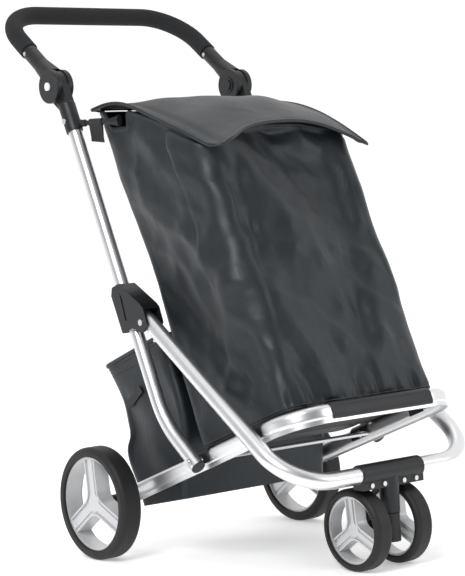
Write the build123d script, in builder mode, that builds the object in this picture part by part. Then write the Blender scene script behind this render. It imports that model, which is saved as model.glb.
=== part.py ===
"""Four-wheeled folding shopping trolley: aluminium frame, tilting push handle, fabric bag and twin front caster.

X runs across the cart, -Y is forward, +Z is up, and the origin is on the floor under the middle of the cart.
"left" is the +X side, which is the user's left hand when pushing.
"""

import os
from math import atan2, cos, degrees, hypot, radians, sin

from build123d import *

# wheels
rear_axle_y = 117.0
rear_wheel_radius = 100.0
rear_rim_radius = 83.0
rear_tyre_width = 42.0
rear_wheel_x = 235.0
front_wheel_radius = 69.0
front_rim_radius = 56.5
front_tyre_width = 35.0
front_wheel_x = 46.0
caster_trail = 32.0
axle_diameter = 8.0

# side frames: each upright, brace leg and handle arm shares one plane on each side
side_x = 208.5
upright_diameter = 25.0
tube_wall = 1.6
upright_lean = 23.0
upright_ref = (13.0, 403.0)
upright_top = 436.0
upright_bend_start = -125.0
upright_bend_radius = 170.0
upright_bend_angle = 28.0
upright_tip = 13.0

# base frame
leg_x = 182.0
leg_slope = 19.5
leg_height = 29.0
leg_width = 20.0
leg_wall = 1.5
leg_front = 512.0
leg_rear = 20.0
leg_corner_radius = 66.0
lip_height = 4.0
lip_width = 3.0

# front brace
brace_diameter = 28.5
brace_slope = 36.1
brace_length = 439.0
brace_top_end = -18.0
brace_corner_radius = 86.0

# knuckles that slide on the uprights
knuckle_pivot_along = 2.2
knuckle_pivot_out = 42.2
knuckle_half_thickness = 18.0
knuckle_cavity_radius = 24.5
ear_radius = 17.0

# handle
handle_pivot_along = 484.0
handle_pivot_out = -14.0
handle_offset = 6.5
handle_rise = 38.0
handle_length = 232.0
handle_corner_radius = 87.0
handle_tube_diameter = 22.0
grip_diameter = 33.5
grip_start = 107.0
arm_diameter = 29.0
arm_end = 105.0
disc_radius = 30.5
disc_half_thickness = 18.0
lug_thickness = 15.0
lug_radius = 28.0
socket_diameter = 31.0
socket_bottom = 386.0
button_diameter = 21.0
button_travel = 3.0

# bag, lid and pocket
bag_width = 336.0
bag_rear_out = 16.0
bag_front_out = 270.0
bag_corner_radius = 14.0
bag_rim_height = 762.0
bag_rear_rim_height = 790.0
cloth_thickness = 2.5
lid_width = 350.0
lid_thickness = 3.0
pocket_width = 330.0

# fasteners and clearances
pin_diameter = 6.0
handle_pin_diameter = 8.0
running_clearance = 0.05
slide_clearance = 0.3
loose_clearance = 0.1

sides = (("left", 1), ("right", -1))
up_y = sin(radians(upright_lean))
up_z = cos(radians(upright_lean))
leg_y = -cos(radians(leg_slope))
leg_z = sin(radians(leg_slope))
brace_y = -cos(radians(brace_slope))
brace_z = -sin(radians(brace_slope))


def on_upright(along, out=0.0):
    """A (y, z) point: so far up the upright's centre line, and so far out in front of it."""
    return (upright_ref[0] + along * up_y - out * up_z, upright_ref[1] + along * up_z + out * up_y)


def on_leg(along, above=0.0):
    """A (y, z) point: so far forward of the rear axle along the base legs, and so far above their centre line."""
    return (
        rear_axle_y + along * leg_y + above * leg_z,
        rear_wheel_radius + along * leg_z - above * leg_y,
    )


def on_brace(along, above=0.0):
    """A (y, z) point: so far from the knuckle pivot down the brace, and so far above its centre line."""
    y, z = on_upright(knuckle_pivot_along, knuckle_pivot_out)
    return (y + along * brace_y + above * brace_z, z + along * brace_z - above * brace_y)


def side_plane(x):
    """The plane across X whose own x and y are the cart's Y and Z."""
    return Plane.YZ.offset(x)


def x_axis(point):
    """The axis along X through a (y, z) point."""
    return Axis((0, point[0], point[1]), (1, 0, 0))


# derived places
handle_pivot = on_upright(handle_pivot_along, handle_pivot_out)
bend_turn = upright_lean + upright_bend_angle
upright_bend_chord = 2 * upright_bend_radius * sin(radians(upright_bend_angle / 2))
chord_lean = radians(upright_lean + upright_bend_angle / 2)
bend_start = on_upright(upright_bend_start)
bend_end = (
    bend_start[0] - upright_bend_chord * sin(chord_lean),
    bend_start[1] - upright_bend_chord * cos(chord_lean),
)
foot_y = -sin(radians(bend_turn))
foot_z = -cos(radians(bend_turn))
# the base pivot is where the upright's foot crosses the leg's centre line
foot_to_pivot = (
    (rear_axle_y - bend_end[0]) * leg_z - (rear_wheel_radius - bend_end[1]) * leg_y
) / (foot_y * leg_z - foot_z * leg_y)
base_pivot = (bend_end[0] + foot_to_pivot * foot_y, bend_end[1] + foot_to_pivot * foot_z)
upright_end = (
    bend_end[0] + (foot_to_pivot + upright_tip) * foot_y,
    bend_end[1] + (foot_to_pivot + upright_tip) * foot_z,
)
pivot_along_leg = hypot(base_pivot[0] - rear_axle_y, base_pivot[1] - rear_wheel_radius)
knuckle_pivot = on_brace(0)
brace_bar = on_brace(brace_length)
# the brace crosses the leg's centre line here
crossing_along_brace = (
    (rear_axle_y - knuckle_pivot[0]) * leg_z - (rear_wheel_radius - knuckle_pivot[1]) * leg_y
) / (brace_y * leg_z - brace_z * leg_y)
crossing = on_brace(crossing_along_brace)
crossing_along_leg = hypot(crossing[0] - rear_axle_y, crossing[1] - rear_wheel_radius)
caster_y = brace_bar[0]
front_axle_y = caster_y + caster_trail


def finish(piece, name):
    """Labels a finished sub-part and writes it to its own file."""
    piece.part.label = name
    export_step(piece.part, f"parts/{name}.step")


def rod_across(point, x_low, x_high, diameter):
    """A round rod along X; called inside a part."""
    with BuildSketch(side_plane(x_low)) as disc:
        with Locations(point):
            Circle(diameter / 2)
    extrude(disc.sketch, amount=x_high - x_low)


def hole_across(point, diameter, x_low=-400.0, x_high=400.0):
    """Cuts a round hole along X; called inside a part."""
    with BuildSketch(side_plane(x_low)) as disc:
        with Locations(point):
            Circle(diameter / 2)
    extrude(disc.sketch, amount=x_high - x_low, mode=Mode.SUBTRACT)


os.makedirs("parts", exist_ok=True)

# ---------------------------------------------------------------- uprights
peg_angle = 30.0
peg_length = 50.0
peg_cone_length = 22.0
peg_reach = 26.0
bracket_screw_point = on_upright(socket_bottom + 21)


def across_upright(x, along):
    """The plane square to an upright, with its own y toward the front of the cart."""
    y, z = on_upright(along)
    return Plane(origin=(x, y, z), x_dir=(-1, 0, 0), z_dir=(0, up_y, up_z))


def across_peg(sign, reach):
    """The plane square to a hanger peg, so far out from the upright's centre line."""
    y, z = on_upright(socket_bottom + 16)
    inward = sin(radians(peg_angle))
    forward = cos(radians(peg_angle))
    return Plane(
        origin=(sign * (side_x - inward * reach), y - forward * reach, z),
        x_dir=(0, 0, 1),
        z_dir=(-sign * inward, -forward, 0),
    )


foot_plane_dir = (0, foot_y, foot_z)
for side, sign in sides:
    with BuildPart() as upright:
        with BuildLine(side_plane(sign * side_x)) as path:
            Line(on_upright(upright_top), bend_start)
            bend = JernArc(bend_start, (-up_y, -up_z), upright_bend_radius, -upright_bend_angle)
            Line(bend @ 1, upright_end)
        with BuildSketch(across_upright(sign * side_x, upright_top)):
            Circle(upright_diameter / 2)
            Circle(upright_diameter / 2 - tube_wall, mode=Mode.SUBTRACT)
        sweep(path=path)
        hole_across(base_pivot, pin_diameter + 2 * loose_clearance)
        hole_across(bracket_screw_point, pin_diameter + 2 * loose_clearance)
    finish(upright, f"upright_{side}")

    # a rounded cap whose plug sits inside the upright's lower end
    with BuildPart() as plug:
        end_plane = Plane(
            origin=(sign * side_x, *upright_end), x_dir=(1, 0, 0), z_dir=foot_plane_dir
        )
        with BuildSketch(end_plane):
            Circle(upright_diameter / 2)
        extrude(amount=2.5)
        fillet(plug.edges().filter_by(GeomType.CIRCLE).sort_by(Axis.Z)[0], 1.2)
        with BuildSketch(end_plane):
            Circle(upright_diameter / 2 - tube_wall - loose_clearance)
        extrude(amount=-6)
    finish(plug, f"upright_plug_{side}")

    # handle bracket: a socket over the upright's top, a round lug, and a boss for the hanger peg
    with BuildPart() as bracket:
        with BuildSketch(across_upright(sign * side_x, socket_bottom)):
            Circle(socket_diameter / 2)
        extrude(amount=upright_top + 3 - socket_bottom)
        fillet(bracket.edges().filter_by(GeomType.CIRCLE).group_by(Axis.Z)[0], 1.4)
        # the socket narrows to the thickness of the lug
        with BuildSketch(across_upright(sign * side_x, upright_top + 3)):
            Circle(socket_diameter / 2)
        with BuildSketch(across_upright(sign * side_x, handle_pivot_along - disc_radius - 0.8)):
            with Locations((0, -4)):
                Rectangle(lug_thickness, socket_diameter - 4)
        loft()
        with BuildSketch(side_plane(sign * side_x)):
            with BuildLine():
                Polyline(
                    on_upright(upright_top - 2, -14),
                    on_upright(handle_pivot_along, handle_pivot_out - lug_radius),
                    on_upright(handle_pivot_along, handle_pivot_out + lug_radius),
                    on_upright(upright_top - 2, 14),
                    close=True,
                )
            make_face()
            with Locations(handle_pivot):
                Circle(lug_radius)
        extrude(amount=lug_thickness / 2, both=True)
        with BuildSketch(across_peg(sign, 8.0)):
            Circle(6.5)
        extrude(amount=peg_reach - 8.0)
        with BuildSketch(across_upright(sign * side_x, socket_bottom - 1)):
            Circle(upright_diameter / 2 + loose_clearance)
        extrude(amount=upright_top + 1.5 - socket_bottom, mode=Mode.SUBTRACT)
        hole_across(handle_pivot, handle_pin_diameter + 2 * running_clearance)
        hole_across(bracket_screw_point, pin_diameter + 2 * loose_clearance)
    finish(bracket, f"handle_bracket_{side}")

    # hanger peg: a round bar that flares at its end
    with BuildPart() as peg:
        with BuildSketch(across_peg(sign, peg_reach)):
            Circle(4.5)
        extrude(amount=peg_length)
        with BuildSketch(across_peg(sign, peg_reach + peg_length - 6)):
            Circle(4.5)
        with BuildSketch(across_peg(sign, peg_reach + peg_length - 6 + peg_cone_length)):
            Circle(11.0)
        loft()
    finish(peg, f"hanger_peg_{side}")

with BuildPart() as bracket_screws:
    for side, sign in sides:
        reach = socket_diameter / 2 + 0.2
        rod_across(bracket_screw_point, sign * side_x - reach, sign * side_x + reach, pin_diameter)
        rod_across(bracket_screw_point, sign * side_x - reach - 2, sign * side_x - reach, 10.5)
        rod_across(bracket_screw_point, sign * side_x + reach, sign * side_x + reach + 2, 10.5)
finish(bracket_screws, "bracket_screws")

# pivot bolts: head and washer outboard of the upright, nut inside the leg
with BuildPart() as pivot_bolts:
    for side, sign in sides:
        head_from = sign * (side_x + upright_diameter / 2 + 0.1)
        nut_from = sign * (leg_x - leg_width / 2 - 0.1)
        rod_across(base_pivot, min(head_from, nut_from), max(head_from, nut_from), pin_diameter)
        rod_across(base_pivot, min(head_from, head_from + sign * 1.6), max(head_from, head_from + sign * 1.6), 15)
        rod_across(base_pivot, min(head_from, head_from + sign * 5), max(head_from, head_from + sign * 5), 11)
        rod_across(base_pivot, min(nut_from, nut_from - sign * 4), max(nut_from, nut_from - sign * 4), 10.5)
finish(pivot_bolts, "pivot_bolts")

# ---------------------------------------------------------------- base frame
leg_plane = Plane(
    origin=(0, rear_axle_y, rear_wheel_radius), x_dir=(-1, 0, 0), z_dir=(0, leg_z, -leg_y)
)
rod_along_leg = pivot_along_leg + 21.0
rod_point = on_leg(rod_along_leg, -3.5)
rod_diameter = 8.0


def across_leg(x, along):
    """The plane square to a leg, with its own y pointing up from the leg."""
    y, z = on_leg(along)
    return Plane(origin=(x, y, z), x_dir=(1, 0, 0), z_dir=(0, leg_y, leg_z))


with BuildPart() as base_frame:
    with BuildLine(leg_plane) as path:
        FilletPolyline(
            (-leg_x, -leg_rear),
            (-leg_x, leg_front),
            (leg_x, leg_front),
            (leg_x, -leg_rear),
            radius=leg_corner_radius,
        )
    # flat oval tube with a small lip under its outer edge
    with BuildSketch(across_leg(leg_x, -leg_rear)):
        SlotOverall(leg_height, leg_width, rotation=90)
        with Locations((leg_width / 2 - 3.2, -leg_height / 2 + 0.5)):
            Rectangle(lip_width, lip_height + 3)
        SlotOverall(leg_height - 2 * leg_wall, leg_width - 2 * leg_wall, rotation=90, mode=Mode.SUBTRACT)
    sweep(path=path)
    hole_across(base_pivot, pin_diameter + 2 * running_clearance)
    hole_across((rear_axle_y, rear_wheel_radius), axle_diameter + 2 * loose_clearance)
    hole_across(rod_point, rod_diameter + 2 * loose_clearance, -leg_x, leg_x)
finish(base_frame, "base_frame")

with BuildPart() as cross_rod:
    rod_across(rod_point, -leg_x + 1, leg_x - 1, rod_diameter)
finish(cross_rod, "cross_rod")

sleeve_half_length = 112.0
sleeve_thickness = 2.4
with BuildPart() as bar_sleeve:
    with BuildSketch(side_plane(-sleeve_half_length)):
        with Locations(Location((*on_leg(leg_front), 0), (0, 0, -leg_slope))):
            SlotOverall(leg_height + 2 * sleeve_thickness, leg_width + 2 * sleeve_thickness, rotation=90)
            SlotOverall(
                leg_height + 2 * loose_clearance,
                leg_width + 2 * loose_clearance,
                rotation=90,
                mode=Mode.SUBTRACT,
            )
            with Locations((-leg_width / 2 + 3.2, -leg_height / 2)):
                Rectangle(lip_width + 2, 3 * lip_height, mode=Mode.SUBTRACT)
    extrude(amount=2 * sleeve_half_length)
finish(bar_sleeve, "bar_sleeve")

# platform sheet: lies on the legs, notched round the saddles and the brace rests
saddle_length = 44.0
saddle_wall = 3.1
rest_length = 34.0
rest_wall = 1.5
sheet_rear = pivot_along_leg + 30.0
sheet_front = leg_front - leg_width / 2 - sleeve_thickness - 0.6
sheet_thickness = 1.6
with BuildPart() as platform_sheet:
    with BuildSketch(leg_plane.offset(leg_height / 2)) as outline:
        with Locations((0, (sheet_rear + sheet_front) / 2)):
            Rectangle(2 * leg_x, sheet_front - sheet_rear)
        fillet(outline.vertices().group_by(Axis.Y)[-1], 60)
        with Locations((leg_x, crossing_along_leg), (-leg_x, crossing_along_leg)):
            Rectangle(26, rest_length + 4, mode=Mode.SUBTRACT)
    extrude(amount=sheet_thickness)
finish(platform_sheet, "platform_sheet")

for name, centre, length, wall in (
    ("saddle", pivot_along_leg, saddle_length, saddle_wall),
    ("brace_rest", crossing_along_leg, rest_length, rest_wall),
):
    for side, sign in sides:
        # an upside-down channel over the leg, open below so that the lip passes
        with BuildPart() as channel:
            with BuildSketch(across_leg(sign * leg_x, centre - length / 2)):
                SlotOverall(leg_height + 2 * (wall + 0.1), leg_width + 2 * (wall + 0.1), rotation=90)
                SlotOverall(leg_height + 0.2, leg_width + 0.2, rotation=90, mode=Mode.SUBTRACT)
                with Locations((0, -leg_height / 2 - 2)):
                    Rectangle(2 * leg_width, 18, mode=Mode.SUBTRACT)
            extrude(amount=length)
            if name == "saddle":
                hole_across(base_pivot, 16)
                hole_across(rod_point, rod_diameter + 2 * slide_clearance, -leg_x, leg_x)
        finish(channel, f"{name}_{side}")

# rear axle with the tube between the legs and the spacers outside them
axle_end = 8.0
with BuildPart() as rear_axle:
    axle_reach = rear_wheel_x + axle_end
    rod_across((rear_axle_y, rear_wheel_radius), -axle_reach, axle_reach, axle_diameter)
finish(rear_axle, "rear_axle")

with BuildPart() as axle_tube:
    with BuildSketch(side_plane(-leg_x + leg_width / 2 + 0.2)):
        with Locations((rear_axle_y, rear_wheel_radius)):
            Circle(7.5)
            Circle(axle_diameter / 2 + loose_clearance, mode=Mode.SUBTRACT)
    extrude(amount=2 * (leg_x - leg_width / 2 - 0.2))
finish(axle_tube, "axle_tube")

rear_hub_half_width = 19.0
with BuildPart() as axle_spacers:
    for side, sign in sides:
        near = leg_x + leg_width / 2 + 0.2
        far = rear_wheel_x - rear_hub_half_width - 0.4
        with BuildSketch(side_plane(sign * near)):
            with Locations((rear_axle_y, rear_wheel_radius)):
                Circle(10)
                Circle(axle_diameter / 2 + loose_clearance, mode=Mode.SUBTRACT)
        extrude(amount=sign * (far - near))
finish(axle_spacers, "axle_spacers")

# ---------------------------------------------------------------- wheels
caster_height = brace_bar[1]


def y_outline(radius, half_width, blend):
    """The face of a three-armed Y whose inner corners are rounded."""
    with BuildSketch() as outline:
        with PolarLocations(0, 3):
            with Locations((radius / 2, 0)):
                Rectangle(radius, 2 * half_width)
        inner = [v for v in outline.vertices() if hypot(v.X, v.Y) < 2 * half_width]
        fillet(inner, blend)
    return outline.sketch


def wheel_pair(kind, y, radius, rim_radius, width, x, hub_half, hub_radius, arm_half, blend, turn, names):
    """The rim with its broad three-armed centre, and the tyre, for a left and a right wheel."""
    rim_half = width / 2 - 5
    web = y_outline(rim_radius - 3, arm_half, blend)
    panel = y_outline(rim_radius - 3, arm_half - 8.5, blend + 8.5)
    inside_ridge = y_outline(rim_radius, arm_half - 3, blend + 3)
    for side, sign in names:
        outer = x + rim_half
        placed = Location(Plane((sign * x, y, radius), x_dir=(0, 1, 0), z_dir=(1, 0, 0))) * Rot(0, 0, turn)
        with BuildPart() as rim:
            with BuildSketch(side_plane(sign * x)):
                with Locations((y, radius)):
                    Circle(rim_radius)
                    Circle(rim_radius - 4, mode=Mode.SUBTRACT)
            extrude(amount=rim_half, both=True)
            # the centre is one thick web with a raised ridge along its edge and a raised panel
            extrude(placed * web, amount=rim_half - 5, both=True)
            extrude(placed * panel, amount=rim_half - 3, both=True)
            extrude(placed * (web - inside_ridge), amount=rim_half - 1.5, both=True)
            # hub, longer toward the cart; the axle ends inside it
            with BuildSketch(side_plane(sign * (outer - 3))):
                with Locations((y, radius)):
                    Circle(hub_radius)
            extrude(amount=-sign * (rim_half - 3 + hub_half))
            with BuildSketch(side_plane(sign * (x - hub_half - 1))):
                with Locations((y, radius)):
                    Circle(axle_diameter / 2 + running_clearance)
            extrude(amount=sign * (hub_half + 1 + axle_end + 0.5), mode=Mode.SUBTRACT)
        finish(rim, f"{kind}_rim_{side}")

        with BuildPart() as tyre:
            tyre_plane = Plane(origin=(sign * x, y, radius), x_dir=(1, 0, 0), z_dir=(0, -1, 0))
            with BuildSketch(tyre_plane) as section:
                with Locations((0, (radius + rim_radius + 0.1) / 2)):
                    Rectangle(width, radius - rim_radius - 0.1)
                fillet(section.vertices().group_by(Axis.Y)[-1], 9)
                fillet(section.vertices().group_by(Axis.Y)[0], 2)
            revolve(axis=x_axis((y, radius)))
        finish(tyre, f"{kind}_tyre_{side}")


wheel_pair(
    "rear", rear_axle_y, rear_wheel_radius, rear_rim_radius, rear_tyre_width, rear_wheel_x,
    rear_hub_half_width, 16.0, 15.0, 26.0, 205.0, sides,
)
wheel_pair(
    "front", front_axle_y, front_wheel_radius, front_rim_radius, front_tyre_width,
    front_wheel_x, 16.0, 12.0, 12.0, 18.0, 205.0, sides,
)

# ---------------------------------------------------------------- brace
with BuildPart() as brace:
    brace_plane = Plane(
        origin=(0, *knuckle_pivot), x_dir=(-1, 0, 0), z_dir=(0, brace_z, -brace_y)
    )
    with BuildLine(brace_plane) as path:
        FilletPolyline(
            (-side_x, brace_top_end),
            (-side_x, brace_length),
            (side_x, brace_length),
            (side_x, brace_top_end),
            radius=brace_corner_radius,
        )
    with BuildSketch(
        Plane(
            origin=(side_x, *on_brace(brace_top_end)), x_dir=(1, 0, 0), z_dir=(0, brace_y, brace_z)
        )
    ):
        Circle(brace_diameter / 2)
        Circle(brace_diameter / 2 - tube_wall, mode=Mode.SUBTRACT)
    sweep(path=path)
    hole_across(knuckle_pivot, pin_diameter + 2 * running_clearance)
    # holes for the lock pins, on the underside
    for side, sign in sides:
        with BuildSketch(
            Plane(origin=(sign * side_x, *on_brace(30.0)), x_dir=(1, 0, 0), z_dir=(0, -brace_z, brace_y))
        ):
            Circle(3.5 + slide_clearance)
        extrude(amount=brace_diameter, mode=Mode.SUBTRACT)
finish(brace, "brace")

for side, sign in sides:
    with BuildPart() as lock_pin:
        with BuildSketch(
            Plane(origin=(sign * side_x, *on_brace(30.0)), x_dir=(1, 0, 0), z_dir=(0, -brace_z, brace_y))
        ):
            Circle(3.5)
        extrude(amount=brace_diameter / 2 + 6)
        fillet(lock_pin.edges().filter_by(GeomType.CIRCLE).sort_by(Axis.Z)[0], 1.2)
    finish(lock_pin, f"lock_pin_{side}")

# knuckles: a flat-sided sleeve on each upright whose fork holds the brace's top end
for side, sign in sides:
    with BuildPart() as knuckle:
        with BuildSketch(side_plane(sign * side_x)):
            with BuildLine():
                Polyline(
                    on_upright(5, -16.5),
                    on_upright(76, -16.5),
                    on_upright(88, -8),
                    on_upright(87, 12),
                    on_upright(74, 22),
                    on_upright(32, 54),
                    on_upright(22, 59),
                    on_upright(-6, 57),
                    on_upright(-15, 45),
                    on_upright(-14, 34),
                    on_upright(-2, 22),
                    on_upright(2, 16.5),
                    close=True,
                )
            make_face()
        extrude(amount=knuckle_half_thickness, both=True)
        fillet(knuckle.edges().filter_by(Axis.X), 3)
        # room between the cheeks for the brace end through its whole swing
        with BuildSketch(side_plane(sign * side_x)):
            with Locations(knuckle_pivot):
                Circle(knuckle_cavity_radius)
            with BuildLine():
                Polyline(
                    on_brace(0, 24),
                    on_brace(60, 24),
                    on_brace(60, -40),
                    on_brace(0, -24),
                    close=True,
                )
            make_face()
        extrude(amount=brace_diameter / 2 + 0.4, both=True, mode=Mode.SUBTRACT)
        with BuildSketch(across_upright(sign * side_x, -30)):
            Circle(upright_diameter / 2 + slide_clearance)
        extrude(amount=160, mode=Mode.SUBTRACT)
        hole_across(knuckle_pivot, pin_diameter + 2 * loose_clearance)
        # a shallow pointed recess on the outer face
        with BuildSketch(side_plane(sign * (side_x + knuckle_half_thickness))):
            with BuildLine():
                Polyline(on_upright(72, 8), on_upright(22, 2), on_upright(14, 24), close=True)
            make_face()
        extrude(amount=-sign * 1.5, mode=Mode.SUBTRACT)
    finish(knuckle, f"knuckle_{side}")

with BuildPart() as brace_rivets:
    for side, sign in sides:
        reach = knuckle_half_thickness + 0.1
        rod_across(knuckle_pivot, sign * side_x - reach, sign * side_x + reach, pin_diameter)
        rod_across(knuckle_pivot, sign * side_x - reach - 2, sign * side_x - reach, 11)
        rod_across(knuckle_pivot, sign * side_x + reach, sign * side_x + reach + 2, 11)
finish(brace_rivets, "brace_rivets")

# ---------------------------------------------------------------- caster
clamp_half_length = 68.0
clamp_radius = 17.4
flange_bottom = caster_height - 24.0
flange_depth = 25.0
housing_bottom = 95.0
housing_radius = 16.5
stem_radius = 6.0
stem_top = caster_height - brace_diameter / 2 - 6
screw_xs = (-50.0, -22.0, 22.0, 50.0)
screw_z = caster_height - 17.4
screw_seat = flange_depth / 2 + 0.1
# the front and rear halves close round the brace's bar and make the stem housing between them
for name, facing in (("front", -1), ("rear", 1)):
    with BuildPart() as clamp:
        with BuildSketch(side_plane(-clamp_half_length)):
            with Locations((caster_y, caster_height)):
                Circle(clamp_radius)
            with Locations((caster_y, (caster_height + flange_bottom) / 2)):
                Rectangle(flange_depth, caster_height - flange_bottom)
        extrude(amount=2 * clamp_half_length)
        fillet(clamp.edges().filter_by(GeomType.CIRCLE), 1.5)
        with BuildSketch(Plane.XY.offset(housing_bottom)):
            with Locations((0, caster_y)):
                Circle(housing_radius)
        extrude(amount=caster_height - housing_bottom)
        with BuildSketch(side_plane(-clamp_half_length - 1)):
            with Locations((caster_y, caster_height)):
                Circle(brace_diameter / 2 + loose_clearance)
        extrude(amount=2 * clamp_half_length + 2, mode=Mode.SUBTRACT)
        with BuildSketch(Plane.XY.offset(housing_bottom - 1)):
            with Locations((0, caster_y)):
                Circle(stem_radius + running_clearance)
        extrude(amount=stem_top + 1 - housing_bottom + 1, mode=Mode.SUBTRACT)
        for screw_x in screw_xs:
            with BuildSketch(Plane.XZ.offset(-caster_y - 30)):
                with Locations((screw_x, screw_z)):
                    Circle(2.1)
            extrude(amount=60, mode=Mode.SUBTRACT)
        split(
            bisect_by=Plane(origin=(0, caster_y + facing * 0.05, 0), z_dir=(0, facing, 0)), keep=Keep.TOP
        )
    finish(clamp, f"caster_clamp_{name}")

with BuildPart() as clamp_screws:
    for screw_x in screw_xs:
        with BuildSketch(Plane.XZ.offset(-caster_y + screw_seat)):
            with Locations((screw_x, screw_z)):
                Circle(2)
        extrude(amount=-2 * screw_seat)
        with BuildSketch(Plane.XZ.offset(-caster_y + screw_seat)):
            with Locations((screw_x, screw_z)):
                Circle(4)
        extrude(amount=2.4)
        with BuildSketch(Plane.XZ.offset(-caster_y - screw_seat)):
            with Locations((screw_x, screw_z)):
                RegularPolygon(4, 6)
        extrude(amount=-2.6)
finish(clamp_screws, "clamp_screws")

swivel_top = housing_bottom - 0.6
swivel_bottom = 46.0
with BuildPart() as caster_swivel:
    with BuildSketch(Plane.XY.offset(swivel_bottom)):
        with Locations((0, caster_y)):
            Circle(16)
    extrude(amount=swivel_top - swivel_bottom)
    fillet(caster_swivel.edges().filter_by(GeomType.CIRCLE), 2)
    with BuildSketch(Plane.XY.offset(swivel_top)):
        with Locations((0, caster_y)):
            Circle(stem_radius)
    extrude(amount=stem_top - swivel_top)
    # web and boss that reach back to the axle between the wheels
    with BuildSketch(side_plane(0)):
        with BuildLine():
            Polyline(
                (caster_y, swivel_bottom + 4),
                (front_axle_y, front_wheel_radius - 15),
                (front_axle_y, front_wheel_radius + 15),
                (caster_y, swivel_top - 4),
                close=True,
            )
        make_face()
        with Locations((front_axle_y, front_wheel_radius)):
            Circle(15)
    extrude(amount=13, both=True)
    with BuildSketch(side_plane(0)):
        with Locations((front_axle_y, front_wheel_radius)):
            Circle(11)
    extrude(amount=front_wheel_x - 16.4, both=True)
    hole_across((front_axle_y, front_wheel_radius), axle_diameter + 2 * loose_clearance)
finish(caster_swivel, "caster_swivel")

with BuildPart() as front_axle:
    front_reach = front_wheel_x + axle_end
    rod_across((front_axle_y, front_wheel_radius), -front_reach, front_reach, axle_diameter)
finish(front_axle, "front_axle")

# ---------------------------------------------------------------- handle
rise_y = cos(radians(handle_rise))
rise_z = sin(radians(handle_rise))


def on_handle(along, above=0.0):
    """A (y, z) point: so far up the handle arm from beside its pivot, and so far above its centre line."""
    return (
        handle_pivot[0] + along * rise_y - (above + handle_offset) * rise_z,
        handle_pivot[1] + along * rise_z + (above + handle_offset) * rise_y,
    )


handle_plane = Plane(origin=(0, *on_handle(0)), x_dir=(1, 0, 0), z_dir=(0, -rise_z, rise_y))


def across_handle(x, along):
    """The plane square to a handle arm."""
    return Plane(origin=(x, *on_handle(along)), x_dir=(1, 0, 0), z_dir=(0, rise_y, rise_z))


def handle_path(start):
    """The handle's U from one arm to the other; called inside a line."""
    return FilletPolyline(
        (-side_x, start),
        (-side_x, handle_length),
        (side_x, handle_length),
        (side_x, start),
        radius=handle_corner_radius,
    )


tube_start = 60.0
arm_screw_point = on_handle(98.0)
for side, sign in sides:
    with BuildPart() as arm:
        with BuildSketch(side_plane(sign * side_x)):
            with Locations(handle_pivot):
                Circle(disc_radius)
        extrude(amount=disc_half_thickness, both=True)
        fillet(arm.edges().filter_by(GeomType.CIRCLE), 2)
        with BuildSketch(across_handle(sign * side_x, 14)):
            with Locations((0, -2)):
                RectangleRounded(2 * disc_half_thickness - 3, 36, 10)
        with BuildSketch(across_handle(sign * side_x, 58)):
            Circle(arm_diameter / 2 + 0.5)
        loft()
        with BuildSketch(across_handle(sign * side_x, 58)):
            Circle(arm_diameter / 2)
        extrude(amount=arm_end - 58)
        # slot for the bracket's lug
        with BuildSketch(side_plane(sign * side_x)):
            with Locations(handle_pivot):
                Circle(disc_radius + 1.5)
            with BuildLine():
                Polyline(on_handle(0, 34), on_handle(-40, 34), on_handle(-40, -34), on_handle(0, -34), close=True)
            make_face()
        extrude(amount=lug_thickness / 2 + slide_clearance, both=True, mode=Mode.SUBTRACT)
        with BuildSketch(across_handle(sign * side_x, tube_start - 0.5)):
            Circle(handle_tube_diameter / 2 + loose_clearance)
        extrude(amount=80, mode=Mode.SUBTRACT)
        # raised ring round the release button, and the button's recess
        inner_face = sign * (side_x - disc_half_thickness)
        with BuildSketch(side_plane(inner_face)):
            with Locations(handle_pivot):
                Circle(15.5)
        extrude(amount=-sign * 1.6)
        with BuildSketch(side_plane(inner_face - sign * 2)):
            with Locations(handle_pivot):
                Circle(button_diameter / 2 + slide_clearance)
        extrude(amount=sign * 8.5, mode=Mode.SUBTRACT)
        hole_across(handle_pivot, handle_pin_diameter + 2 * loose_clearance)
        hole_across(arm_screw_point, 4.2)
    finish(arm, f"handle_arm_{side}")

    with BuildPart() as button:
        with BuildSketch(side_plane(inner_face - sign * 4)):
            with Locations(handle_pivot):
                Circle(button_diameter / 2)
        extrude(amount=sign * 7)
        fillet(button.edges().filter_by(GeomType.CIRCLE), 1)
    finish(button, f"handle_button_{side}")

with BuildPart() as handle_tube:
    with BuildLine(handle_plane) as path:
        handle_path(tube_start)
    with BuildSketch(across_handle(-side_x, tube_start)):
        Circle(handle_tube_diameter / 2)
        Circle(handle_tube_diameter / 2 - tube_wall, mode=Mode.SUBTRACT)
    sweep(path=path)
    hole_across(arm_screw_point, 4.2)
finish(handle_tube, "handle_tube")

with BuildPart() as foam_grip:
    with BuildLine(handle_plane) as path:
        handle_path(grip_start)
    with BuildSketch(across_handle(-side_x, grip_start)):
        Circle(grip_diameter / 2)
        Circle(handle_tube_diameter / 2 + loose_clearance, mode=Mode.SUBTRACT)
    sweep(path=path)
finish(foam_grip, "foam_grip")

with BuildPart() as handle_pins:
    for side, sign in sides:
        outer = sign * (side_x + disc_half_thickness + 0.1)
        inner = sign * (side_x - disc_half_thickness + 6.8)
        rod_across(handle_pivot, min(outer, inner), max(outer, inner), handle_pin_diameter)
        rod_across(handle_pivot, min(outer, outer + sign * 2.6), max(outer, outer + sign * 2.6), 15)
finish(handle_pins, "handle_pins")

with BuildPart() as arm_screws:
    for side, sign in sides:
        reach = arm_diameter / 2 + 0.1
        rod_across(arm_screw_point, sign * side_x - reach, sign * side_x + reach, 4)
        rod_across(arm_screw_point, sign * side_x - reach - 1.6, sign * side_x - reach, 7.5)
        rod_across(arm_screw_point, sign * side_x + reach, sign * side_x + reach + 1.6, 7.5)
finish(arm_screws, "arm_screws")

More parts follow.
